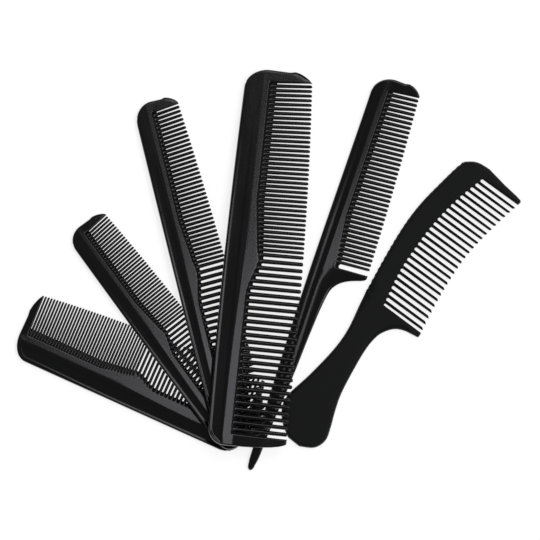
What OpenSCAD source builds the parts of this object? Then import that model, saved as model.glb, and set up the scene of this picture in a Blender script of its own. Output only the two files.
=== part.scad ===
// A set of six moulded plastic hair combs, fanned out and laid over one another.
// Millimetres, +Z up, origin on the table under the middle of the set.
// Every comb is one moulding, drawn in its own frame and then laid in the fan:
// x runs from the outer end to the hub end, y from the back of the spine to the
// tooth tips, and z = 0 is the mid-plane between the two faces.

/* [Large dressing comb] */
// Length over both ends
large_length = 210.5; // [200:0.5:220]
// Width at the hub end, back of the spine to tooth tips
large_width = 44.4; // [42:0.2:46]
// Thickness of the spine
large_thick = 4.2; // [3.6:0.1:4.6]

/* [Barber comb] */
// Length over both ends
barber_length = 196; // [188:1:202]
// Width at the hub end
barber_width = 30.6; // [29:0.2:32]
// Thickness of the spine
barber_thick = 3.6; // [3.2:0.1:4]

/* [Small dressing comb] */
// Length over both ends
small_length = 151; // [145:1:155]
// Width at the hub end
small_width = 30.2; // [28:0.2:31]
// Thickness of the spine
small_thick = 3.4; // [3:0.1:3.8]

/* [Pocket comb] */
// Length over both ends
pocket_length = 138; // [132:1:141]
// Width at the hub end
pocket_width = 45; // [43:0.2:46.4]
// Thickness of the spine
pocket_thick = 3.6; // [3.2:0.1:4]

/* [Tail comb] */
// Length of the whole comb, outer end to tail tip
tail_length = 231.5; // [220:0.5:240]
// Length of the toothed head
tail_head = 110.5; // [108:0.5:112]
// Width of the head at the wide end
tail_width = 31.4; // [30:0.2:32.4]
// Thickness of the spine
tail_thick = 3.6; // [3.2:0.1:4]

/* [Handle comb] */
// Size factor of the whole outline
handle_size = 1; // [0.96:0.01:1.04]
// Thickness of the plate
handle_thick = 4.4; // [4:0.1:4.8]
// Gap width between two teeth
handle_gap = 1.7; // [1.5:0.1:2.1]

/* [Teeth] */
// Fine gaps on each two-grade comb
fine_gaps = 38; // [34:1:42]
// Coarse gaps on each two-grade comb
coarse_gaps = 27; // [23:1:31]
// Coarse pitch divided by fine pitch
grade_ratio = 1.487; // [1.3:0.001:1.6]
// Share of a fine pitch taken by the gap, at its root
fine_share = 0.13; // [0.12:0.01:0.24]
// Share of a coarse pitch taken by the gap, at its root
coarse_share = 0.3; // [0.26:0.01:0.38]
// Gaps on the tail comb
tail_gaps = 38; // [34:1:42]
// Gaps on the handle comb
handle_gaps = 26; // [24:1:28]

/* [Hidden] */

$fn = 48;
black = [0.05, 0.05, 0.055];
arc_steps = 8;
line_steps = 12;
tip_bevel = 0.28;     // share of a tooth's tip taken off at each corner
fine_taper = 0.18;    // share of the pitch a fine tooth loses from root to tip
coarse_taper = 0.1;   // the same for a coarse tooth
tip_thin = 0.4;       // tooth-tip thickness divided by spine thickness
guard_thin = 0.52;    // end-guard tip thickness divided by spine thickness
bead_w = 0.08;        // rim bead, dish and land edges as shares of the spine depth
dish_w = 0.44;
land_w = 0.54;
dish_depth = 0.15;    // depth of the dish at the hub, as a share of half the thickness
knee = [1.08, 0.54];  // where the land's slope turns into the teeth: depth share and face height
guard_turn = 0.95;    // depth share where the guard's face turns

// ---------- curves ----------

function lerp(a, b, t) = a + (b - a) * t;
function clamp01(t) = max(0, min(1, t));
function ease(t) = clamp01(t) * clamp01(t) * (3 - 2 * clamp01(t));

// quarter ellipse between angles a0 and a1 about a centre
function arc(cx, cy, rx, ry, a0, a1) =
  [for (i = [0:arc_steps]) let (a = lerp(a0, a1, i / arc_steps)) [cx + rx * cos(a), cy + ry * sin(a)]];

// smooth curve through a list of points
function blend(p, q, r, s, t) =
  0.5 * (2 * q + (r - p) * t + (2 * p - 5 * q + 4 * r - s) * t * t + (3 * q - p - 3 * r + s) * t * t * t);
function smooth(pts, n) = concat(
  [for (i = [0:len(pts) - 2], k = [0:n - 1])
    blend(pts[max(i - 1, 0)], pts[i], pts[i + 1], pts[min(i + 2, len(pts) - 1)], k / n)],
  [pts[len(pts) - 1]]);

// ---------- tooth cutters ----------

// One gap: a slot that widens towards the tips, with a ramp cut into both faces at its root.
// face is the height of those faces where the ramp starts.
module gap(x, root, tip, ramp, face, width, taper, pitch, lean) {
  reach = tip - root;
  w_tip = width + taper * pitch;
  bevel = tip_bevel * (pitch - w_tip);
  translate([x, root, 0])
    rotate([0, 0, lean])
      intersection() {
        linear_extrude(height = 10, center = true)
          polygon([[-width / 2, -ramp - 1], [width / 2, -ramp - 1], [w_tip / 2, reach - 2 * bevel],
                   [w_tip / 2 + bevel, reach], [w_tip / 2 + bevel, reach + 3],
                   [-w_tip / 2 - bevel, reach + 3], [-w_tip / 2 - bevel, reach],
                   [-w_tip / 2, reach - 2 * bevel]]);
        rotate([90, 0, 90])
          linear_extrude(height = 2 * pitch, center = true)
            polygon([[0, 0], [-1.3 * ramp, 1.3 * face], [-1.3 * ramp, 5], [reach + 2, 5], [reach + 2, -5],
                     [-1.3 * ramp, -5], [-1.3 * ramp, -1.3 * face]]);
      }
}

// Rounded nose of the outer end guard, from its tip back to the end face.
function guard_nose(size, w0) = [[0.72 * size[0], w0 - 0.14 * size[1]], [0.4 * size[0], w0 - 0.4 * size[1]],
  [0.15 * size[0], w0 - 0.68 * size[1]], [0, w0 - size[1]], [0.12 * size[0], w0 - 1.3 * size[1]]];

// ---------- spine section ----------

// Height of a face at a share of the spine depth, on the land that slopes down to the teeth.
function land_height(share, half) =
  half * lerp(1, knee[1], clamp01((share - land_w) / (knee[0] - land_w)));

// Half section of a comb across its width, as [y, z] from the back to the tooth tips. The land
// slopes until turn, a share of the spine depth, and the face then thins to its tip.
function half_section(root, wide, half, turn, thin) = [
  [-3, 0.5 * half], [-0.4, 0.5 * half], [0.03 * root, 0.86 * half], [0.06 * root, half],
  [land_w * root, half], [turn * root, land_height(turn, half)],
  [wide, thin * half], [wide + 2, thin * half]];

function mirror_section(s) = concat(s, [for (i = [len(s) - 1:-1:0]) [s[i][0], -s[i][1]]]);

module section_bar(x0, x1, pts) {
  translate([x0, 0, 0])
    rotate([90, 0, 90])
      linear_extrude(height = x1 - x0)
        polygon(mirror_section(pts));
}

// Shallow dish along both faces of the spine, fading out towards the outer end.
module dish(length, root, half, depth) {
  w = (dish_w - bead_w) * root;
  radius = (w * w / 4 + depth * depth) / (2 * depth);
  fall = atan(1.12 * depth / length);
  for (side = [-1, 1])
    translate([length, (bead_w + dish_w) / 2 * root, side * (half - depth + radius)])
      rotate([0, -90 - side * fall, 0])
        cylinder(r = radius, h = length, $fn = 96);
}

// ---------- two-grade dressing combs ----------

function fine_pitch(length, end) =
  (length - 2 * end) / (fine_gaps - 1 + (1 + grade_ratio) / 2 + (coarse_gaps - 1) * grade_ratio);

// Line of the tooth tips: narrow at the outer end, swelling towards the hub.
function tip_line(x, length, w0, w1) = w1 - (w1 - w0) * pow(1 - clamp01(x / length), 2.5);

// Line of the gap roots, d past the crest: level, rising to the crest where the grades change,
// then down again. spans are the lengths of the rise and of the fall.
function root_line(d, spans, roots) =
  d < 0 ? lerp(roots[0], roots[1], clamp01(1 + d / spans[0])) : lerp(roots[1], roots[2], ease(d / spans[1]));

// corner and hub are the radii of the two back corners, bevel the nose of the outer guard. roots are
// the root depths of the fine gaps, of the crest and of the coarse gaps, ramps the two ramp lengths.
module dressing_comb(length, w0, w1, half, end, corner, hub, bevel, roots, ramps, lean, bow) {
  fine_root = roots[0];
  pf = fine_pitch(length, end);
  pc = pf * grade_ratio;
  crest = end + fine_gaps * pf;
  first_coarse = end + (fine_gaps - 1) * pf + (pf + pc) / 2;
  spans = [12 * pf, 8.7 * pf];
  guard_x = length - end + coarse_share * pc / 2;
  outline = concat(
    arc(corner[0] + 0.3, corner[1], corner[0], corner[1], 180, 270),
    [for (i = [1:line_steps - 1])
      [lerp(corner[0], length - hub[0], i / line_steps), -4 * bow * i / line_steps * (1 - i / line_steps)]],
    arc(length - hub[0], hub[1], hub[0], hub[1], -90, 0),
    [[length - 0.03 * end, 0.5 * w1], [length - 0.09 * end, 0.64 * w1], [length - 0.18 * end, 0.8 * w1],
     [length - 0.31 * end, 0.91 * w1], [length - 0.49 * end, 0.99 * w1], [length - 0.65 * end, w1]],
    [for (i = [line_steps:-1:0])
      let (x = lerp(bevel[0], length - end, i / line_steps)) [x, tip_line(x, length, w0, w1)]],
    guard_nose(bevel, w0));
  difference() {
    intersection() {
      linear_extrude(height = 2 * half + 1, center = true)
        polygon(outline);
      union() {
        section_bar(-2, length + 2, half_section(fine_root, w1, half, knee[0], tip_thin));
        section_bar(guard_x, length + 2, half_section(fine_root, w1, half, guard_turn, guard_thin));
      }
    }
    intersection() {
      dish(length, fine_root, half, dish_depth * half);
      linear_extrude(height = 2 * half + 2, center = true)
        polygon(concat([[0, bead_w * fine_root], [0, dish_w * fine_root]],
          arc(length - hub[0], dish_w * fine_root, hub[0] - 1.8, (dish_w - bead_w) * fine_root, 0, -90)));
    }
    for (i = [0:fine_gaps - 1]) {
      x = end + i * pf;
      root = root_line(x - crest, spans, roots);
      ramp = lerp(ramps[0], ramps[1], 0.5 * clamp01(1 + (x - crest) / spans[0]));
      face = land_height((root - ramp) / fine_root, half);
      gap(x, root, tip_line(x, length, w0, w1), ramp, face, fine_share * pf, fine_taper, pf,
          lean * pow(1 - x / length, 2));
    }
    for (i = [0:coarse_gaps - 1]) {
      x = first_coarse + i * pc;
      root = root_line(x - crest, spans, roots);
      face = land_height((root - ramps[1]) / fine_root, half);
      gap(x, root, tip_line(x, length, w0, w1), ramps[1], face, coarse_share * pc, coarse_taper, pc,
          lean * pow(1 - x / length, 2));
    }
  }
}

// ---------- tail comb ----------

module tail_body(length, head, w1, half) {
  root = 12.1;
  peak = 15.2;
  w0 = 0.84 * w1;
  end = 7.6;
  ramp = 3.1;
  wide_gap = 2.2;
  guard_x = head - 2.3;
  pitch = (guard_x - wide_gap / 2 - 2.2 - end) / (tail_gaps - 1);
  tail_x = length - head;
  outline = concat(
    arc(10.8, 11.6, 10.5, 11.6, 180, 270),
    smooth([[30, 0], [head, -0.5], [head + 0.36 * tail_x, 0], [head + 0.6 * tail_x, 0.6],
            [length - 9, 1.4], [length - 5, 1.65]], 3),
    arc(length - 3.4, 3.75, 3.4, 1.95, -90, 90),
    smooth([[length - 5, 6.05], [length - 10, 6.7], [head + 0.8 * tail_x, 7.4], [head + 0.55 * tail_x, 9.8],
            [head + 0.32 * tail_x, 11.3], [head + 0.18 * tail_x, 12.6], [head + 12.5, 14.1], [head + 8, 16.8],
            [head + 5.3, 20.1], [head + 3.4, 24], [head + 1.7, 28.8], [head + 0.5, w1 - 0.5]], 3),
    [[head - 0.6, w1]],
    [for (i = [line_steps:-1:0])
      let (x = lerp(4.2, guard_x + 1.6, i / line_steps)) [x, w1 - (w1 - w0) * pow(1 - x / head, 1.5)]],
    guard_nose([4.2, 7.2], w0));
  difference() {
    intersection() {
      linear_extrude(height = 2 * half + 1, center = true)
        polygon(outline);
      union() {
        section_bar(-2, length + 2, half_section(root, w1, half, knee[0], tip_thin));
        section_bar(guard_x, length + 2, half_section(root, w1, half, guard_turn, guard_thin));
      }
    }
    intersection() {
      dish(0.78 * length, root, half, dish_depth * half);
      linear_extrude(height = 2 * half + 2, center = true)
        polygon(concat([[0, bead_w * root], [0, dish_w * root]],
          arc(0.74 * length, dish_w * root, 6, (dish_w - bead_w) * root, 0, -90)));
    }
    for (i = [0:tail_gaps - 1]) {
      x = end + i * pitch;
      tip = w1 - (w1 - w0) * pow(1 - x / head, 1.5);
      gap_root = root_line(x - guard_x, [0.26 * head, pitch], [root, peak, peak]);
      face = land_height((gap_root - ramp) / root, half);
      gap(x, gap_root, tip, ramp, face, fine_share * pitch, fine_taper, pitch, lerp(5.7, 3.8, x / head));
    }
    gap(guard_x, peak - 1, w1, 2, land_height((peak - 3) / root, half), wide_gap, 0, 1.4 * pitch, 3.6);
  }
}

// ---------- handle comb ----------

// Points moved inwards, square to the curve they lie on.
function inset(pts, d) =
  [for (i = [0:len(pts) - 1])
    let (a = pts[(i + len(pts) - 1) % len(pts)], b = pts[(i + 1) % len(pts)], v = b - a)
    pts[i] + d * [-v[1], v[0]] / norm(v)];

module handle_body(size, half, gap_w) {
  chamfer = 0.6;
  pitch = 3.5;
  first = 7.8;
  lean = 4;
  back = smooth([[0, 14], [1.2, 7], [4.3, 2.3], [8.5, -0.2], [23.8, -1.9], [40.4, -2.9], [57, -1.8], [79, 2],
                 [101.5, 6.9], [118, 11.3], [132, 12.6], [151.5, 11.5], [168, 9.6], [176.5, 12.2],
                 [182.3, 18], [186, 25], [185.8, 32.9], [180.9, 39.8], [173.8, 42], [165.8, 39.2],
                 [157, 35.1], [146, 31.2], [123.8, 26.7], [112.7, 26.2], [106.7, 27.9], [101.5, 31.6],
                 [98.6, 37.3], [97.4, 43.3]], 3);
  tips = smooth([[95.2, 44.1], [92.1, 43.3], [78.2, 40], [64.3, 37.5], [50.4, 35.8], [40, 35.5], [29, 36.1],
                 [14.9, 37.5], [7.6, 38.6], [3.4, 39.1]], 2);
  roots = smooth([[7.8, 14.2], [22, 11.4], [36.1, 9.9], [49.9, 9.9], [60.4, 10.7], [70.9, 11.8], [81.4, 13.9],
                  [95, 17.8]], 4);
  tip_at = [for (i = [len(tips) - 1:-1:0]) tips[i]];
  outline = concat(back, [[96.6, 44.1]], tips, [[2.5, 38.8], [2, 38], [1.65, 35], [1.2, 26]]);
  scale([size, size, 1])
    difference() {
      union() {
        linear_extrude(height = 2 * (half - chamfer), center = true)
          polygon(outline);
        linear_extrude(height = 2 * half, center = true)
          polygon(inset(outline, chamfer));
      }
      for (i = [0:handle_gaps - 1]) {
        last = i == handle_gaps - 1;
        x = first + i * pitch - (last ? 0.3 : 0);
        root = lookup(x, roots);
        reach = lookup(x - 2, tip_at) - root;
        w = last ? 0.68 * gap_w : gap_w;
        translate([x, root, 0])
          rotate([0, 0, lean])
            linear_extrude(height = 2 * half + 2, center = true)
              polygon([[-0.3 * w, -0.35], [0.3 * w, -0.35], [w / 2, 0.1], [w / 2 + 0.16, reach - 0.6],
                       [w / 2 + 0.5, reach], [w / 2 + 0.5, reach + 5], [-w / 2 - 0.5, reach + 5],
                       [-w / 2 - 0.5, reach], [-w / 2 - 0.16, reach - 0.6], [-w / 2, 0.1]]);
      }
      for (side = [0, 1])
        mirror([0, 0, side])
          translate([5.8, 0, 0])
            rotate([90, 0, 90])
              linear_extrude(height = 88.4)
                polygon([[14, half], [46, 0.4 * half], [46, half + 2], [14, half + 2]]);
    }
}

// ---------- laying in the fan ----------

// Heading of the comb on the table, rise of its hub end, roll about its length, height of its mid-plane.
module lay(x, y, heading, rise, roll, height) {
  translate([x, y, height])
    rotate([0, 0, heading])
      rotate([roll, -rise, 0])
        children();
}

module large_dressing_comb() {
  color(black)
    lay(-12.4, 112.8, -96.1, 3.46, -2.86, 2.52)
      dressing_comb(large_length, 0.835 * large_width, large_width, large_thick / 2, 7.6, [11, 13.6],
                    [10.2, 9.8], [5, 9.4], [18, 20.6, 15.3], [4.5, 2.4], 5.3, 1.1);
}

module barber_comb() {
  color(black)
    lay(-75.8, 91.3, -75.9, 2.47, -3.37, 2.13)
      dressing_comb(barber_length, 0.815 * barber_width, barber_width, barber_thick / 2, 7, [11.5, 10.6],
                    [9.2, 8.3], [3.8, 6.6], [12.3, 14.3, 10.8], [3.1, 2], 6, 0.3);
}

module small_dressing_comb() {
  color(black)
    lay(-113.0, 18.6, -53.6, 1.76, -3.05, 2.01)
      dressing_comb(small_length, 0.832 * small_width, small_width, small_thick / 2, 5.7, [9.3, 9.8],
                    [8.2, 7.8], [2.9, 6.8], [12.3, 14.2, 10.6], [3.1, 1.8], 6.5, 0.3);
}

module pocket_comb() {
  color(black)
    lay(-144.0, -47.3, -24.3, 0.00, -1.39, 2.03)
      dressing_comb(pocket_length, 0.826 * pocket_width, pocket_width, pocket_thick / 2, 5.1, [9, 12.9],
                    [10.6, 10.3], [3.2, 10.2], [18.3, 21, 16.1], [4.3, 2.2], 2, 0);
}

module tail_comb() {
  color(black)
    lay(60.0, 109.2, -108.7, 0, 0, tail_thick / 2)
      tail_body(tail_length, tail_head, tail_width, tail_thick / 2);
}

module handle_comb() {
  color(black)
    lay(112.0, 65.0, -130.3, 0, 0, handle_thick / 2)
      handle_body(handle_size, handle_thick / 2, handle_gap);
}

tail_comb();
handle_comb();
pocket_comb();
small_dressing_comb();
barber_comb();
large_dressing_comb();
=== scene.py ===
"""Looks for a set of six moulded plastic hair combs, fanned out on a pale table.

Every comb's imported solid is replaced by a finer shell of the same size. A shell is drawn in its
comb's own frame, in millimetres: x runs from the outer end to the hub end, y from the back of
the spine to the tooth tips, and z = 0 is the mid-plane. The outline lies in that plane, one
face is a grid of points raised from it, and the other face is its mirror image.
"""

import math

import bpy
import numpy as np
from mathutils import Matrix, Vector


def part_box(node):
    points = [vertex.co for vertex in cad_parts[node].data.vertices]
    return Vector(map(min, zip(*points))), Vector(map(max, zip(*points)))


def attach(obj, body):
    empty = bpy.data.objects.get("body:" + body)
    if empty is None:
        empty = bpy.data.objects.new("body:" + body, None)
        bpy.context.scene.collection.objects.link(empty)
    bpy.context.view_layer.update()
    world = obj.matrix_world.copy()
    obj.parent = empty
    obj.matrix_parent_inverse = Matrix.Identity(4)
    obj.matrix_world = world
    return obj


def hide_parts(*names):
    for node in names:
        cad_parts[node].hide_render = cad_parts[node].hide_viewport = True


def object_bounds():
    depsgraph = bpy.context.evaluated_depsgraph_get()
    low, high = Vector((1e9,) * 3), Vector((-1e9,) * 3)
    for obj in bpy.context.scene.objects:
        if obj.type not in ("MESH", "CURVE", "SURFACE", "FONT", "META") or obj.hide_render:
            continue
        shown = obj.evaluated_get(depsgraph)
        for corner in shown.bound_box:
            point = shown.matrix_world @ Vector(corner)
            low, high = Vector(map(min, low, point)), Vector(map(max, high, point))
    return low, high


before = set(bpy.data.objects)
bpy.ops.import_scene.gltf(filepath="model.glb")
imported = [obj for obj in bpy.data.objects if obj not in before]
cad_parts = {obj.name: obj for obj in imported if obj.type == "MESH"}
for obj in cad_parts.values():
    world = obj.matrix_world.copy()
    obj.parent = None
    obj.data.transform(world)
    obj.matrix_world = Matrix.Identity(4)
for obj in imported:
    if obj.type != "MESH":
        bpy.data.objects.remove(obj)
cad_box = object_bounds()

MM = 0.001

# ---------- comb sizes, millimetres ----------

FINE_GAPS = 38
COARSE_GAPS = 27
GRADE_RATIO = 1.487

# Gap width at the root and how much it grows to the tips, as shares of the pitch
FINE_SHARE, FINE_TAPER = 0.13, 0.18
COARSE_SHARE, COARSE_TAPER = 0.3, 0.1

# Fine pitches over which the root line rises to its crest, and over which it falls again
CREST_RISE, CREST_FALL = 12, 8.7

# Spine features, as shares of the spine depth
DISH_EDGE = 0.44
LAND_OUTER, LAND_HUB = 0.57, 0.47
GUARD_LAND = 0.8

# Heights of a face, as shares of half the thickness
DISH_DEPTH = 0.15
TOOTH_TOP = 0.56
TIP_THIN = 0.4
GUARD_THIN = 0.52

# Widths in millimetres: the bead at the outer end and from mid-length on, the dish's two walls, the
# step from the land down to the teeth, the change from a guard's face to the teeth's, and the rounding
# of a guard beside a gap
BEAD_OUTER, BEAD_HUB = 1.8, 0.7
BACK_WALL, RIDGE_WALL = 1.5, 0.9
STEP = 0.9
GUARD_BLEND = 1.2
SHOULDER = 0.6

# Length of a tooth's rounded tip, as a share of the pitch, and how much of its width the tip keeps
NOSE = 0.45
TIP_KEEPS = 0.3

# How far a gap's two root corners stand towards the tips, as a share of its width
ROOT_ROUNDING = 0.3

# Grid rows: across the spine as shares of its depth, then as shares of each stretch
SPINE_ROWS = np.array([0, 0.005, 0.014, 0.028, 0.046, 0.066, 0.09, 0.113, 0.13, 0.148, 0.172, 0.205, 0.245,
                       0.285, 0.325, 0.36, 0.392, 0.418, 0.44, 0.455, 0.475, 0.495, 0.51, 0.522, 0.535,
                       0.548, 0.56, 0.58])
LAND_ROWS = np.array([0.22, 0.45, 0.7, 0.88, 1])
RAMP_ROWS = np.array([0.09, 0.2, 0.34, 0.55, 0.78, 1])
TOOTH_ROWS = np.array([0.05, 0.2, 0.4, 0.6, 0.8, 1])
TIP_ROWS = np.array([0.35, 0.62, 0.82, 0.94, 1])
ROOT_ROW = len(SPINE_ROWS) + len(LAND_ROWS) + len(RAMP_ROWS) - 1
TIP_ROW = ROOT_ROW + len(TOOTH_ROWS)
RAMP_SHARE = np.concatenate([np.zeros(len(SPINE_ROWS) + len(LAND_ROWS)), RAMP_ROWS,
                             np.ones(len(TOOTH_ROWS) + len(TIP_ROWS))])

# Where the lines along a tooth lie across it
TOOTH_LINES = np.array([0.1, 0.28, 0.5, 0.72, 0.9])

# Columns across an outer guard, and how strongly they gather at its two sides
OUTER_COLUMNS, OUTER_PULL = 13, 0.8

# Steps along each long side of an outline, and how strongly they gather at its ends
OUTLINE_STEPS, OUTLINE_PULL = 500, 0.97

# Edges sharper than this many degrees are shaded sharp
SHARP_EDGE = 48


# ---------- curves ----------


def lerp(a, b, t):
    return a + (b - a) * t


def clamp01(t):
    return np.clip(t, 0.0, 1.0)


def ease(t):
    t = clamp01(t)
    return t * t * (3 - 2 * t)


def round_over(depth, radius):
    """Height share of a rounded edge, at a depth in from that edge."""
    t = clamp01(depth / radius)
    return np.sqrt(t * (2 - t))


def corner(x, edge, radius, height):
    """Height of a quarter ellipse that starts upright at an edge and ends level, radius further in."""
    t = clamp01(1 - np.abs(x - edge) / radius)
    return height * (1 - np.sqrt(1 - t * t))


def smooth_line(points, steps=10):
    """A function of x that runs smoothly through points listed in +x order."""
    pts = np.array(points, float)
    pad = np.vstack([pts[:1], pts, pts[-1:]])
    p, q, r, s = pad[:-3], pad[1:-2], pad[2:-1], pad[3:]
    t = (np.arange(steps) / steps)[None, :, None]
    p, q, r, s = p[:, None], q[:, None], r[:, None], s[:, None]
    run = 0.5 * (2 * q + (r - p) * t + (2 * p - 5 * q + 4 * r - s) * t**2 + (3 * q - p - 3 * r + s) * t**3)
    curve = np.vstack([run.reshape(-1, 2), pts[-1:]])
    return lambda x: np.interp(x, curve[:, 0], curve[:, 1])


def clustered(count, pull):
    """Shares from 0 to 1, close together at both ends."""
    u = np.arange(count + 1) / count
    return u - pull * np.sin(2 * np.pi * u) / (2 * np.pi)


def depth_inside(x, y, outline):
    """Distance of each point from a closed outline."""
    points = np.column_stack([x.ravel(), y.ravel()])
    nearest = np.full(len(points), np.inf)
    for start, end in zip(outline, np.roll(outline, -1, axis=0)):
        along = end - start
        t = clamp01((points - start) @ along / max(along @ along, 1e-12))
        away = points - start - t[:, None] * along
        nearest = np.minimum(nearest, (away**2).sum(1))
    return np.sqrt(nearest).reshape(x.shape)


# ---------- the grid of one face ----------

# A comb is a dict of its gaps; back(x) and top(x), its two long sides with the gaps filled in; depth,
# the spine's depth; nose, the length of a tooth's rounded tip; shoulder, the rounding of a guard beside
# a gap; left and right, its ends as (y, x) points from the back up; right_count and right_pull, how
# many columns cross the hub end and how they gather; respread, how far the rows of an end even out
# again towards its edge; ramp_profile, how a gap's floor falls; and face(x, y, depth), the height of
# a face at a depth in from the outline.


class Gaps:
    """The gaps between a comb's teeth, one value for each gap in every array."""

    def __init__(self, x, root, tip, ramp, width, grow, lean):
        self.x = np.asarray(x, float)
        self.root = np.asarray(root, float)
        self.tip = np.asarray(tip, float)
        self.ramp = np.broadcast_to(ramp, self.x.shape)
        self.width = np.broadcast_to(width, self.x.shape)
        self.grow = np.broadcast_to(grow, self.x.shape)
        self.slope = np.tan(np.radians(np.broadcast_to(lean, self.x.shape)))


def column_rows(back, depth, ramp_at, root_at, tip_at, nose):
    """Heights of every row along columns, from the back of the spine to the tooth tips."""
    share = SPINE_ROWS / SPINE_ROWS[-1]
    spine = back[:, None] * (1 - share) + depth * SPINE_ROWS
    land = lerp(spine[:, -1:], ramp_at[:, None], LAND_ROWS)
    ramp = lerp(ramp_at[:, None], root_at[:, None], RAMP_ROWS)
    nose_at = (tip_at - nose)[:, None]
    tooth = lerp(root_at[:, None], nose_at, TOOTH_ROWS)
    tip = lerp(nose_at, tip_at[:, None], TIP_ROWS)
    return np.hstack([spine, land, ramp, tooth, tip])


def gap_columns(gaps, comb, side):
    """The left (-1), middle (0) or right (1) column of every gap."""
    root_at = gaps.root + ROOT_ROUNDING * gaps.width * abs(side)
    ramp_at = gaps.root - gaps.ramp
    y = column_rows(comb["back"](gaps.x), comb["depth"], ramp_at, root_at, gaps.tip, comb["nose"])
    reach = clamp01((y - gaps.root[:, None]) / (gaps.tip - gaps.root)[:, None])
    bend = gaps.root[:, None] - np.maximum(y, ramp_at[:, None])
    x = gaps.x[:, None] + bend * gaps.slope[:, None]
    x = x + side * (gaps.width[:, None] + gaps.grow[:, None] * reach) / 2
    return x, y


def guard_columns(edge_x, edge_y, side, comb, count, pull):
    """Columns from an end of the comb in to the edge of the nearest gap, the edge not included.

    side is the end's (y, x) points. Also gives how far each point is from the gap.
    """
    share = (edge_y - edge_y[0]) / (edge_y[-1] - edge_y[0])
    even = np.linspace(0, 1, len(share))
    side_y, side_x = np.array(side, float).T
    q = clustered(count, pull)[:-1, None]
    mixed = lerp(share, even, ease((1 - q) * comb.get("respread", 0)))
    x = lerp(np.interp(lerp(side_y[0], side_y[-1], mixed), side_y, side_x), edge_x, q)
    low, high = comb["back"](x[:, :1]), comb["top"](x[:, -1:])
    y = lerp(low, high, mixed)
    y[0] = lerp(side_y[0], side_y[-1], mixed[0])
    x[0] = np.interp(y[0], side_y, side_x)
    return x, y, np.abs(x - edge_x)


def tip_squeeze():
    """How much of a tooth's width is left at each row, rounded off at the tip."""
    left = np.ones(len(RAMP_SHARE))
    left[TIP_ROW + 1:] = lerp(TIP_KEEPS, 1, np.sqrt(1 - TIP_ROWS**2))
    return left


def face_grid(comb):
    """Points of one face: arrays of x, y and lift, from 0 in a gap to 1, and which cells are plastic."""
    gaps = comb["gaps"]
    left_x, left_y = gap_columns(gaps, comb, -1)
    mid_x, mid_y = gap_columns(gaps, comb, 0)
    right_x, right_y = gap_columns(gaps, comb, 1)
    rows = left_x.shape[1]
    xs, ys, lifts, open_after = [], [], [], []

    def add(x, y, lift, opens):
        xs.append(x)
        ys.append(y)
        lifts.append(np.broadcast_to(lift, (rows,)))
        open_after.append(opens)

    squeeze = tip_squeeze()
    guard = guard_columns(left_x[0], left_y[0], comb["left"], comb, OUTER_COLUMNS, OUTER_PULL)
    for x, y, off in zip(*guard):
        add(x, y, round_over(off, comb["shoulder"]), False)
    for k in range(len(gaps.x)):
        add(left_x[k], left_y[k], 0, True)
        add(mid_x[k], mid_y[k], 0, True)
        if k + 1 == len(gaps.x):
            add(right_x[k], right_y[k], 0, False)
            break
        centre = (right_x[k] + left_x[k + 1]) / 2
        half = (left_x[k + 1] - right_x[k]) / 2 * squeeze
        right_x[k] = centre - half
        left_x[k + 1] = centre + half
        add(right_x[k], right_y[k], 0, False)
        for t in TOOTH_LINES:
            across = min(t, 1 - t) / 0.5
            add(lerp(right_x[k], left_x[k + 1], t), lerp(right_y[k], left_y[k + 1], t),
                math.sqrt(across * (2 - across)), False)
    guard = guard_columns(right_x[-1], right_y[-1], comb["right"], comb, comb["right_count"],
                          comb["right_pull"])
    for x, y, off in reversed(list(zip(*guard))):
        add(x, y, round_over(off, comb["shoulder"]), False)

    plastic = np.ones((len(xs) - 1, rows - 1), bool)
    for i, opens in enumerate(open_after[:-1]):
        if opens:
            plastic[i, ROOT_ROW:] = False
    return np.array(xs), np.array(ys), np.array(lifts), plastic


def outline_points(comb):
    """The comb's outline with its gaps filled in."""
    along = clustered(OUTLINE_STEPS, OUTLINE_PULL)
    low = lerp(comb["left"][0][1], comb["right"][0][1], along)
    high = lerp(comb["right"][-1][1], comb["left"][-1][1], along)
    right = [(x, y) for y, x in comb["right"][1:-1]]
    left = [(x, y) for y, x in comb["left"][-2:0:-1]]
    parts = [np.column_stack([low, comb["back"](low)])]
    parts += [np.array(right)] if right else []
    parts += [np.column_stack([high, comb["top"](high)])]
    parts += [np.array(left)] if left else []
    return np.vstack(parts)


def shell_mesh(name, comb):
    """The closed mesh of a comb, in metres in its own frame.

    Points on the outline or on a gap's edge lie in the mid-plane and are shared by both faces.
    """
    x, y, lift, plastic = face_grid(comb)
    depth = depth_inside(x, y, outline_points(comb))
    z = comb["face"](x, y, depth)
    z = z * (1 - comb["ramp_profile"](RAMP_SHARE) * (1 - lift))

    solid = np.zeros((x.shape[0] + 1, x.shape[1] + 1), int)
    solid[1:-1, 1:-1] = plastic
    around = solid[:-1, :-1] + solid[1:, :-1] + solid[:-1, 1:] + solid[1:, 1:]
    used = around > 0
    rim = used & (around < 4)
    z[rim] = 0

    top = np.full(x.shape, -1)
    top[used] = np.arange(used.sum())
    inner = used & ~rim
    bottom = top.copy()
    bottom[inner] = used.sum() + np.arange(inner.sum())
    points = np.vstack([np.column_stack([x[used], y[used], z[used]]),
                        np.column_stack([x[inner], y[inner], -z[inner]])])
    i, j = np.nonzero(plastic)
    upper = np.column_stack([top[i, j], top[i + 1, j], top[i + 1, j + 1], top[i, j + 1]])
    lower = np.column_stack([bottom[i, j + 1], bottom[i + 1, j + 1], bottom[i + 1, j], bottom[i, j]])

    mesh = bpy.data.meshes.new(name)
    mesh.from_pydata((points * MM).tolist(), [], np.vstack([upper, lower]).tolist())
    mesh.validate()
    mesh.polygons.foreach_set("use_smooth", np.ones(len(mesh.polygons), bool))
    mesh.set_sharp_from_angle(angle=math.radians(SHARP_EDGE))
    return mesh


# ---------- two-grade dressing combs ----------


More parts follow.
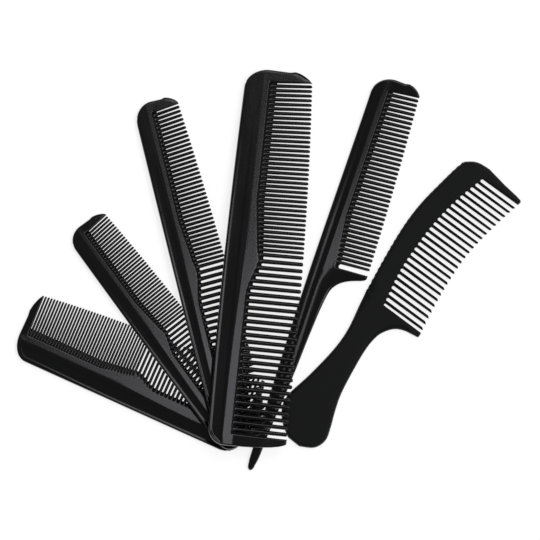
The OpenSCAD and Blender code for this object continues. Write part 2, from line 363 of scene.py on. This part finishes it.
def moulded_face(half, depth_w, wide, edge, bow, dish, land, toothed):
    """Height of a face: rim bead, dish, ridge and land, then the teeth or a guard.

    dish(x) gives how deep the dish is, from 0 to 1, the widths of the bead and of the dish's wall
    beside it, and how far x is from the dish's end. land(x) gives where the land starts and stops and
    how much it drops in a millimetre. toothed(x) is 1 between the guards.
    """

    def face(x, y, depth):
        share = (y - bow(x) * clamp01(1 - y / depth_w)) / depth_w
        fade, bead, back_wall, room = dish(x)
        back = ease((depth - bead) / back_wall)
        ridge = ease((DISH_EDGE - share) * depth_w / RIDGE_WALL)
        channel = DISH_DEPTH * fade * np.minimum(np.minimum(back, ridge), ease(room))
        return half * (thickness(x, y) - channel) * round_over(depth, edge)

    def thickness(x, y):
        start, stop, fall = land(x)
        fall = fall / half
        low = 1 - fall * (stop - start)
        spine = 1 - fall * (np.clip(y, start, stop) - start)
        past = clamp01((y - stop) / (wide - stop))
        tooth = lerp(np.minimum(TOOTH_TOP, low), TIP_THIN, past)
        tooth = lerp(low, tooth, ease((y - stop) / STEP))
        guard = lerp(low, GUARD_THIN, past)
        return np.where(y < stop, spine, lerp(guard, tooth, toothed(x)))

    return face


def fine_pitch(length, end):
    """Fine pitch of a two-grade comb whose first and last gaps are an end's width in."""
    return (length - 2 * end) / (FINE_GAPS - 1 + (1 + GRADE_RATIO) / 2 + (COARSE_GAPS - 1) * GRADE_RATIO)


def root_line(d, spans, roots):
    """Gap roots, d past the crest: level, rising to the crest where the grades change, then down again."""
    rise = lerp(roots[0], roots[1], clamp01(1 + d / spans[0]))
    return np.where(d < 0, rise, lerp(roots[1], roots[2], ease(d / spans[1])))


def dressing_comb(length, w0, w1, half, end, outer, hub, bevel, roots, ramps, lean, bow, slopes,
                  run_out=1.12):
    """A two-grade comb, w0 wide at the outer end and w1 at the hub end.

    half is half the spine's thickness and end the width of an end guard. outer and hub are the radii
    of the back's corners and bevel the nose of the outer guard, along x and y. roots are the root
    depths of the fine gaps, the crest and the coarse gaps, and ramps the two ramp lengths. lean is the
    first gap's lean in degrees, bow how far the back bulges, slopes the land's slope in degrees at the
    outer end and at the hub, and run_out how much of its depth the dish loses from hub to outer end.
    """
    pf = fine_pitch(length, end)
    pc = pf * GRADE_RATIO
    crest = end + FINE_GAPS * pf
    grade_x = end + (FINE_GAPS - 0.5) * pf
    x = np.concatenate([end + np.arange(FINE_GAPS) * pf,
                        end + (FINE_GAPS - 1) * pf + (pf + pc) / 2 + np.arange(COARSE_GAPS) * pc])
    fine = np.arange(len(x)) < FINE_GAPS
    guard_x = length - end + COARSE_SHARE * pc / 2

    def bowed(x):
        t = clamp01((x - outer[0]) / (length - hub[0] - outer[0]))
        return -4 * bow * t * (1 - t)

    def back(x):
        return corner(x, 0.3, outer[0], outer[1]) + corner(x, length, hub[0], hub[1]) + bowed(x)

    def tips(x):
        return w1 - (w1 - w0) * (1 - clamp01(x / length)) ** 2.5

    def gap_root(x):
        return root_line(x - crest, (CREST_RISE * pf, CREST_FALL * pf), roots)

    def fine_ramp(x):
        return lerp(*ramps, 0.5 * clamp01(1 + (x - crest) / (CREST_RISE * pf)))

    def toothed(x):
        return ease((x - end + 0.9) / GUARD_BLEND) * ease((guard_x + 0.4 - x) / GUARD_BLEND)

    def land(x):
        start = roots[0] * lerp(LAND_OUTER, LAND_HUB, ease(x / length / 0.4 - 1))
        ramp = lerp(fine_ramp(x), ramps[1], ease((x - grade_x + pc) / (2 * pc)))
        stop = lerp(GUARD_LAND * roots[0], gap_root(x) - ramp, ease((length - end + 2 - x) / 4))
        return start, stop, np.tan(np.radians(lerp(*slopes, clamp01(x / length))))

    def dish(x):
        fade = clamp01(1 - run_out * (1 - x / length))
        return fade, lerp(BEAD_OUTER, BEAD_HUB, ease(2 * x / length)), BACK_WALL, 1

    nose = smooth_line([(-0.1, w0 - 1.2 * bevel[1]), (0, w0 - bevel[1]),
                        (0.15 * bevel[0], w0 - 0.68 * bevel[1]), (0.4 * bevel[0], w0 - 0.4 * bevel[1]),
                        (0.72 * bevel[0], w0 - 0.14 * bevel[1]), (bevel[0], w0), (bevel[0] + 1, w0 + 2)])
    heel = smooth_line([(length - end, w1 + 0.5), (length - 0.65 * end, w1),
                        (length - 0.49 * end, 0.99 * w1), (length - 0.31 * end, 0.91 * w1)])

    def top(x):
        return np.minimum(np.minimum(tips(x), np.where(x < bevel[0], nose(x), w1)),
                          np.where(x > length - 0.65 * end, heel(x), w1))

    root = gap_root(x)
    angle = lean * (1 - x / length) ** 2
    tip = tips(x - (tips(x) - root) * np.tan(np.radians(angle)))
    width = np.where(fine, FINE_SHARE * pf, COARSE_SHARE * pc)
    grow = np.where(fine, FINE_TAPER * pf, COARSE_TAPER * pc)
    return {
        "gaps": Gaps(x, root, tip, np.where(fine, fine_ramp(x), ramps[1]), width, grow, angle),
        "back": back,
        "top": top,
        "depth": roots[0],
        "nose": NOSE * pf,
        "shoulder": SHOULDER,
        "left": [(outer[1], 0.3), (w0 - 1.3 * bevel[1], 0.12 * bevel[0]), (w0 - bevel[1], 0)],
        "right": [(hub[1], length), (0.5 * w1, length - 0.03 * end), (0.64 * w1, length - 0.09 * end),
                  (0.8 * w1, length - 0.18 * end), (0.91 * w1, length - 0.31 * end)],
        "right_count": 15,
        "right_pull": 0.75,
        "ramp_profile": lambda t: t,
        "face": moulded_face(half, roots[0], w1, 0.35 * half, bowed, dish, land, toothed),
    }


# ---------- tail comb ----------


def tail_comb(length, head, w1, half):
    """A one-grade comb with its teeth in the head, and a tail that tapers to a rounded tip."""
    count = 38
    root, peak, end, wide_gap, ramp = 12.1, 15.2, 7.6, 2.2, 3.1
    w0 = 0.84 * w1
    nose_end = 4.2
    guard_x = head - 2.3
    sweep_x = head - 0.6
    tip_radius, tip_drop = 3.4, 1.95
    pitch = (guard_x - wide_gap / 2 - 2.2 - end) / (count - 1)
    tail = length - head
    curve = smooth_line([(10.8, 0), (30, 0), (head, -0.5), (head + 0.36 * tail, 0), (head + 0.6 * tail, 0.6),
                         (length - 9, 1.4), (length - 5, 1.65), (length - tip_radius, 1.8)])
    sweep = smooth_line([(sweep_x, w1), (head + 0.5, w1 - 0.5), (head + 1.7, 28.8), (head + 3.4, 24),
                         (head + 5.3, 20.1), (head + 8, 16.8), (head + 12.5, 14.1),
                         (head + 0.18 * tail, 12.6), (head + 0.32 * tail, 11.3), (head + 0.55 * tail, 9.8),
                         (head + 0.8 * tail, 7.4), (length - 10, 6.7), (length - 5, 6.05),
                         (length - tip_radius, 5.7)])
    nose = smooth_line([(0, w0 - 7.2), (0.6, w0 - 4.6), (1.7, w0 - 2.6), (3, w0 - 1), (nose_end, w0),
                        (nose_end + 1, w0 + 2)])

    def back(x):
        return curve(x) + corner(x, 0.3, 10.5, 11.6) + corner(x, length, tip_radius, tip_drop)

    def tips(x):
        return w1 - (w1 - w0) * (1 - clamp01(x / head)) ** 1.5

    def top(x):
        combed = np.minimum(tips(x), np.where(x < nose_end, nose(x), w1))
        return np.where(x < sweep_x, combed, sweep(x)) - corner(x, length, tip_radius, tip_drop)

    def gap_root(x):
        return root_line(x - guard_x, (0.26 * head, pitch), (root, peak, peak))

    def toothed(x):
        return ease((x - end + 0.9) / GUARD_BLEND) * ease((guard_x - x) / GUARD_BLEND)

    def land(x):
        past = ease((x - guard_x + 1) / 12)
        start = root * lerp(0.53, 0.5, past)
        stop = np.minimum(lerp(gap_root(x) - ramp, 0.66 * root, past), top(x) - 1)
        return start, np.maximum(start, stop), np.tan(np.radians(lerp(5.2, 7.7, clamp01(x / head))))

    def dish(x):
        bead = lerp(1.6, 2, ease(x / head))
        back_wall = lerp(2.6, 3.2, ease(x / head - 0.5))
        return clamp01(1.25 * x / head), bead, back_wall, 0.1 * (0.8 * length - x)

    x = np.append(end + np.arange(count) * pitch, guard_x)
    roots = np.append(gap_root(x[:-1]), peak - 1)
    angle = np.append(lerp(5.7, 3.8, x[:-1] / head), 3.6)
    tip = tips(x - (tips(x) - roots) * np.tan(np.radians(angle)))
    return {
        "gaps": Gaps(x, roots, tip, np.append(np.full(count, ramp), 2),
                     np.append(np.full(count, FINE_SHARE * pitch), wide_gap), FINE_TAPER * pitch, angle),
        "back": back,
        "top": top,
        "depth": root,
        "nose": NOSE * pitch,
        "shoulder": SHOULDER,
        "left": [(11.6, 0.3), (w0 - 9.4, 0.5), (w0 - 7.2, 0)],
        "right": [(3.75, length), (3.77, length)],
        "right_count": 84,
        "right_pull": 0.93,
        "respread": 1.6,
        "ramp_profile": lambda t: t,
        "face": moulded_face(half, root, w1, 0.4 * half, lambda x: curve(x) * (x > 30), dish, land,
                             toothed),
    }


# ---------- handle comb ----------


def handle_comb(half):
    """A curved comb with wide teeth and a paddle handle."""
    count, first, pitch, gap_width = 26, 7.8, 3.5, 1.7
    back = smooth_line([(0, 14), (1.2, 7), (4.3, 2.3), (8.5, -0.2), (23.8, -1.9), (40.4, -2.9), (57, -1.8),
                        (79, 2), (101.5, 6.9), (118, 11.3), (132, 12.6), (151.5, 11.5), (168, 9.6),
                        (176.5, 12.2), (182.3, 18), (186, 25)])
    top = smooth_line([(2, 38), (2.5, 38.8), (3.4, 39.1), (7.6, 38.6), (14.9, 37.5), (29, 36.1),
                       (40, 35.5), (50.4, 35.8), (64.3, 37.5), (78.2, 40), (92.1, 43.3), (95.2, 44.1),
                       (96.6, 44.1), (97.4, 43.3), (98.6, 37.3), (101.5, 31.6), (106.7, 27.9),
                       (112.7, 26.2), (123.8, 26.7), (146, 31.2), (157, 35.1), (165.8, 39.2), (173.8, 42),
                       (180.9, 39.8), (185.8, 32.9)])
    roots = smooth_line([(first, 14.2), (22, 11.4), (36.1, 9.9), (49.9, 9.9), (60.4, 10.7), (70.9, 11.8),
                         (81.4, 13.9), (95, 17.8)])
    x = first + np.arange(count) * pitch
    width = np.full(count, gap_width)
    # The gap next to the handle is narrower, and a little nearer its neighbour
    x[-1] -= 0.3
    width[-1] *= 0.68

    def face(x, y, depth):
        teeth = ease((x - 4.6) / 1.6) * ease((95.8 - x) / 2.4)
        wedge = lerp(1, 0.4, clamp01((y - 14) / 32))
        return half * lerp(1, wedge, teeth) * round_over(depth, 0.75 * half)

    return {
        "gaps": Gaps(x, roots(x), top(x - 2), 0.9, width, 0.32, 4),
        "back": back,
        "top": top,
        "depth": 9,
        "nose": 0.9,
        "shoulder": 0.9,
        "left": [(14, 0), (26, 1.2), (35, 1.65), (38, 2)],
        "right": [(25, 186), (32.9, 185.8)],
        "right_count": 60,
        "right_pull": 0.9,
        "respread": 1.6,
        "ramp_profile": lambda t: 1 - round_over(1 - t, 1),
        "face": face,
    }


# ---------- materials ----------


class Nodes:
    """Short way to add and link shader nodes."""

    def __init__(self, material):
        self.tree = material.node_tree
        self.tree.nodes.clear()

    def add(self, kind, **values):
        """Adds a node and sets its sockets, with _ for a space in a socket's name."""
        node = self.tree.nodes.new(kind)
        for key, value in values.items():
            node.inputs[key.replace("_", " ")].default_value = value
        return node

    def link(self, out, into):
        self.tree.links.new(out, into)


def moulded_plastic(name, dark, light, rough, specular, grain, grain_depth):
    """Black moulded plastic: colour and roughness vary along flow marks, under a fine skin texture.

    grain is the skin's scale and grain_depth its depth in metres.
    """
    material = bpy.data.materials.new(name)
    material.use_nodes = True
    n = Nodes(material)
    place = n.add("ShaderNodeTexCoord")
    stretch = n.add("ShaderNodeMapping", Scale=(0.12, 1.0, 1.0))
    n.link(place.outputs["Object"], stretch.inputs["Vector"])

    flow = n.add("ShaderNodeTexNoise", Scale=160.0, Detail=4.0, Roughness=0.6)
    n.link(stretch.outputs["Vector"], flow.inputs["Vector"])
    skin = n.add("ShaderNodeTexNoise", Scale=grain, Detail=3.0, Roughness=0.5)
    n.link(place.outputs["Object"], skin.inputs["Vector"])

    colour = n.add("ShaderNodeValToRGB")
    for stop, position, tone in zip(colour.color_ramp.elements, (0.3, 0.75), (dark, light)):
        stop.position = position
        stop.color = (*tone, 1)
    n.link(flow.outputs["Fac"], colour.inputs["Fac"])

    sheen = n.add("ShaderNodeMapRange", From_Min=0.3, From_Max=0.7, To_Min=rough[0], To_Max=rough[1])
    n.link(flow.outputs["Fac"], sheen.inputs["Value"])

    bump = n.add("ShaderNodeBump", Strength=0.35, Distance=grain_depth)
    n.link(skin.outputs["Fac"], bump.inputs["Height"])

    shader = n.add("ShaderNodeBsdfPrincipled", IOR=1.49, Specular_IOR_Level=specular)
    n.link(colour.outputs["Color"], shader.inputs["Base Color"])
    n.link(sheen.outputs["Result"], shader.inputs["Roughness"])
    n.link(bump.outputs["Normal"], shader.inputs["Normal"])
    out = n.add("ShaderNodeOutputMaterial")
    n.link(shader.outputs["BSDF"], out.inputs["Surface"])
    return material


def pale_floor():
    """Matte pale table that glows a little, like a light table, so that narrow gaps stay bright."""
    material = bpy.data.materials.new("pale_table")
    material.use_nodes = True
    n = Nodes(material)
    shader = n.add("ShaderNodeBsdfPrincipled", Base_Color=(0.86, 0.86, 0.86, 1), Roughness=0.9,
                   Specular_IOR_Level=0.1, Emission_Color=(1, 1, 1, 1), Emission_Strength=0.78)
    out = n.add("ShaderNodeOutputMaterial")
    n.link(shader.outputs["BSDF"], out.inputs["Surface"])
    return material


# ---------- laying in the fan ----------


def lay(node, material, heading, rise, roll, comb):
    """Builds a comb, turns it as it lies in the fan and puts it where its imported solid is.

    heading is the turn about +Z, rise lifts the hub end and roll turns the comb about its length, all
    in degrees. The two boxes' centres are matched.
    """
    piece = bpy.data.objects.new(f"{node}_moulding", shell_mesh(f"{node}_moulding", comb))
    bpy.context.scene.collection.objects.link(piece)
    piece.data.materials.append(material)
    turn = (Matrix.Rotation(math.radians(heading), 4, "Z") @ Matrix.Rotation(math.radians(-rise), 4, "Y")
            @ Matrix.Rotation(math.radians(roll), 4, "X"))
    corners = np.array([turn @ v.co for v in piece.data.vertices])
    low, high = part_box(node)
    middle = (low + high) / 2 - Vector((corners.min(0) + corners.max(0)) / 2)
    piece.matrix_world = Matrix.Translation(middle) @ turn
    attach(piece, node)
    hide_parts(node)


gloss = moulded_plastic("gloss_black", dark=(0.0055, 0.0062, 0.0058), light=(0.0075, 0.0082, 0.0079),
                        rough=(0.12, 0.17), specular=0.5, grain=900, grain_depth=0.03 * MM)
satin = moulded_plastic("satin_black", dark=(0.013, 0.0145, 0.0138), light=(0.0165, 0.018, 0.017),
                        rough=(0.45, 0.55), specular=0.25, grain=1500, grain_depth=0.04 * MM)

lay("large_dressing_comb", gloss, heading=-96.1, rise=3.46, roll=-2.86,
    comb=dressing_comb(length=210.5, w0=37.07, w1=44.4, half=2.1, end=7.6,
                       outer=(11, 13.6), hub=(10.2, 9.8), bevel=(5, 9.4),
                       roots=(18, 20.6, 15.3), ramps=(4.5, 2.4), lean=5.3, bow=1.1, slopes=(2, 6.6)))
lay("barber_comb", gloss, heading=-75.9, rise=2.47, roll=-3.37,
    comb=dressing_comb(length=196, w0=24.94, w1=30.6, half=1.8, end=7,
                       outer=(11.5, 10.6), hub=(9.2, 8.3), bevel=(3.8, 6.6),
                       roots=(12.3, 14.3, 10.8), ramps=(3.1, 2), lean=6, bow=0.3, slopes=(2.2, 6.6)))
lay("small_dressing_comb", gloss, heading=-53.6, rise=1.76, roll=-3.05,
    comb=dressing_comb(length=151, w0=25.13, w1=30.2, half=1.7, end=5.7,
                       outer=(9.3, 9.8), hub=(8.2, 7.8), bevel=(2.9, 6.8),
                       roots=(12.3, 14.2, 10.6), ramps=(3.1, 1.8), lean=6.5, bow=0.3, slopes=(3, 7.2)))
lay("pocket_comb", gloss, heading=-24.3, rise=0, roll=-1.39,
    comb=dressing_comb(length=138, w0=37.17, w1=45, half=1.8, end=5.1,
                       outer=(9, 12.9), hub=(10.6, 10.3), bevel=(3.2, 10.2),
                       roots=(18.3, 21, 16.1), ramps=(4.3, 2.2), lean=2, bow=0, slopes=(6.6, 8.6),
                       run_out=0.5))
lay("tail_comb", gloss, heading=-108.7, rise=0, roll=0,
    comb=tail_comb(length=231.5, head=110.5, w1=31.4, half=1.8))
lay("handle_comb", satin, heading=-130.3, rise=0, roll=0, comb=handle_comb(half=2.2))

# ---------- table, light and camera ----------

TABLE_REACH = 3.0
TABLE_CLEARANCE = 0.2 * MM

LAMP_DISTANCE = 4
LAMP_TILT = 24.5
LAMP_HEIGHT = 1.41
LAMP_RADIANCE = 2.2
LAMP_TINT = (0.97, 0.94, 1)
STUDIO_LIGHT = 0.13

CAMERA_AIM = (0.0007, -0.0001)
CAMERA_DISTANCE = 6
CAMERA_FIELD = 0.3


def table():
    """A square floor just under the set."""
    r = TABLE_REACH
    mesh = bpy.data.meshes.new("table")
    mesh.from_pydata([(-r, -r, 0), (r, -r, 0), (r, r, 0), (-r, r, 0)], [], [(0, 1, 2, 3)])
    piece = bpy.data.objects.new("table", mesh)
    piece.location.z = cad_box[0][2] - TABLE_CLEARANCE
    mesh.materials.append(pale_floor())
    bpy.context.scene.collection.objects.link(piece)


def softbox(name, azimuth, width):
    """A soft panel that looks down at the set from LAMP_TILT off straight up, turned about +Z."""
    data = bpy.data.lights.new(name, "AREA")
    data.shape = "RECTANGLE"
    data.size, data.size_y = width, LAMP_HEIGHT
    data.energy = LAMP_RADIANCE * math.pi * width * LAMP_HEIGHT
    data.color = LAMP_TINT
    lamp = bpy.data.objects.new(name, data)
    tilt, azimuth = math.radians(LAMP_TILT), math.radians(azimuth)
    up = Vector((math.sin(tilt) * math.cos(azimuth), math.sin(tilt) * math.sin(azimuth), math.cos(tilt)))
    lamp.location = LAMP_DISTANCE * up
    lamp.rotation_euler = up.to_track_quat("Z", "Y").to_euler()
    bpy.context.scene.collection.objects.link(lamp)


def camera():
    """A long lens straight above the set, which sees CAMERA_FIELD of the table across the frame."""
    data = bpy.data.cameras.new("camera")
    data.sensor_width = 36
    data.lens = data.sensor_width * CAMERA_DISTANCE / CAMERA_FIELD
    data.clip_end = 10 * CAMERA_DISTANCE
    view = bpy.data.objects.new("camera", data)
    view.location = (*CAMERA_AIM, CAMERA_DISTANCE)
    bpy.context.scene.collection.objects.link(view)
    bpy.context.scene.camera = view


table()
softbox("window_right", azimuth=-6, width=1.6)
softbox("window_back", azimuth=52, width=1.34)
camera()

world = bpy.data.worlds.new("studio")
world.use_nodes = True
sky = world.node_tree.nodes["Background"]
sky.inputs["Color"].default_value = (1, 1, 1, 1)
sky.inputs["Strength"].default_value = STUDIO_LIGHT
bpy.context.scene.world = world
bpy.context.scene.view_settings.view_transform = "Standard"
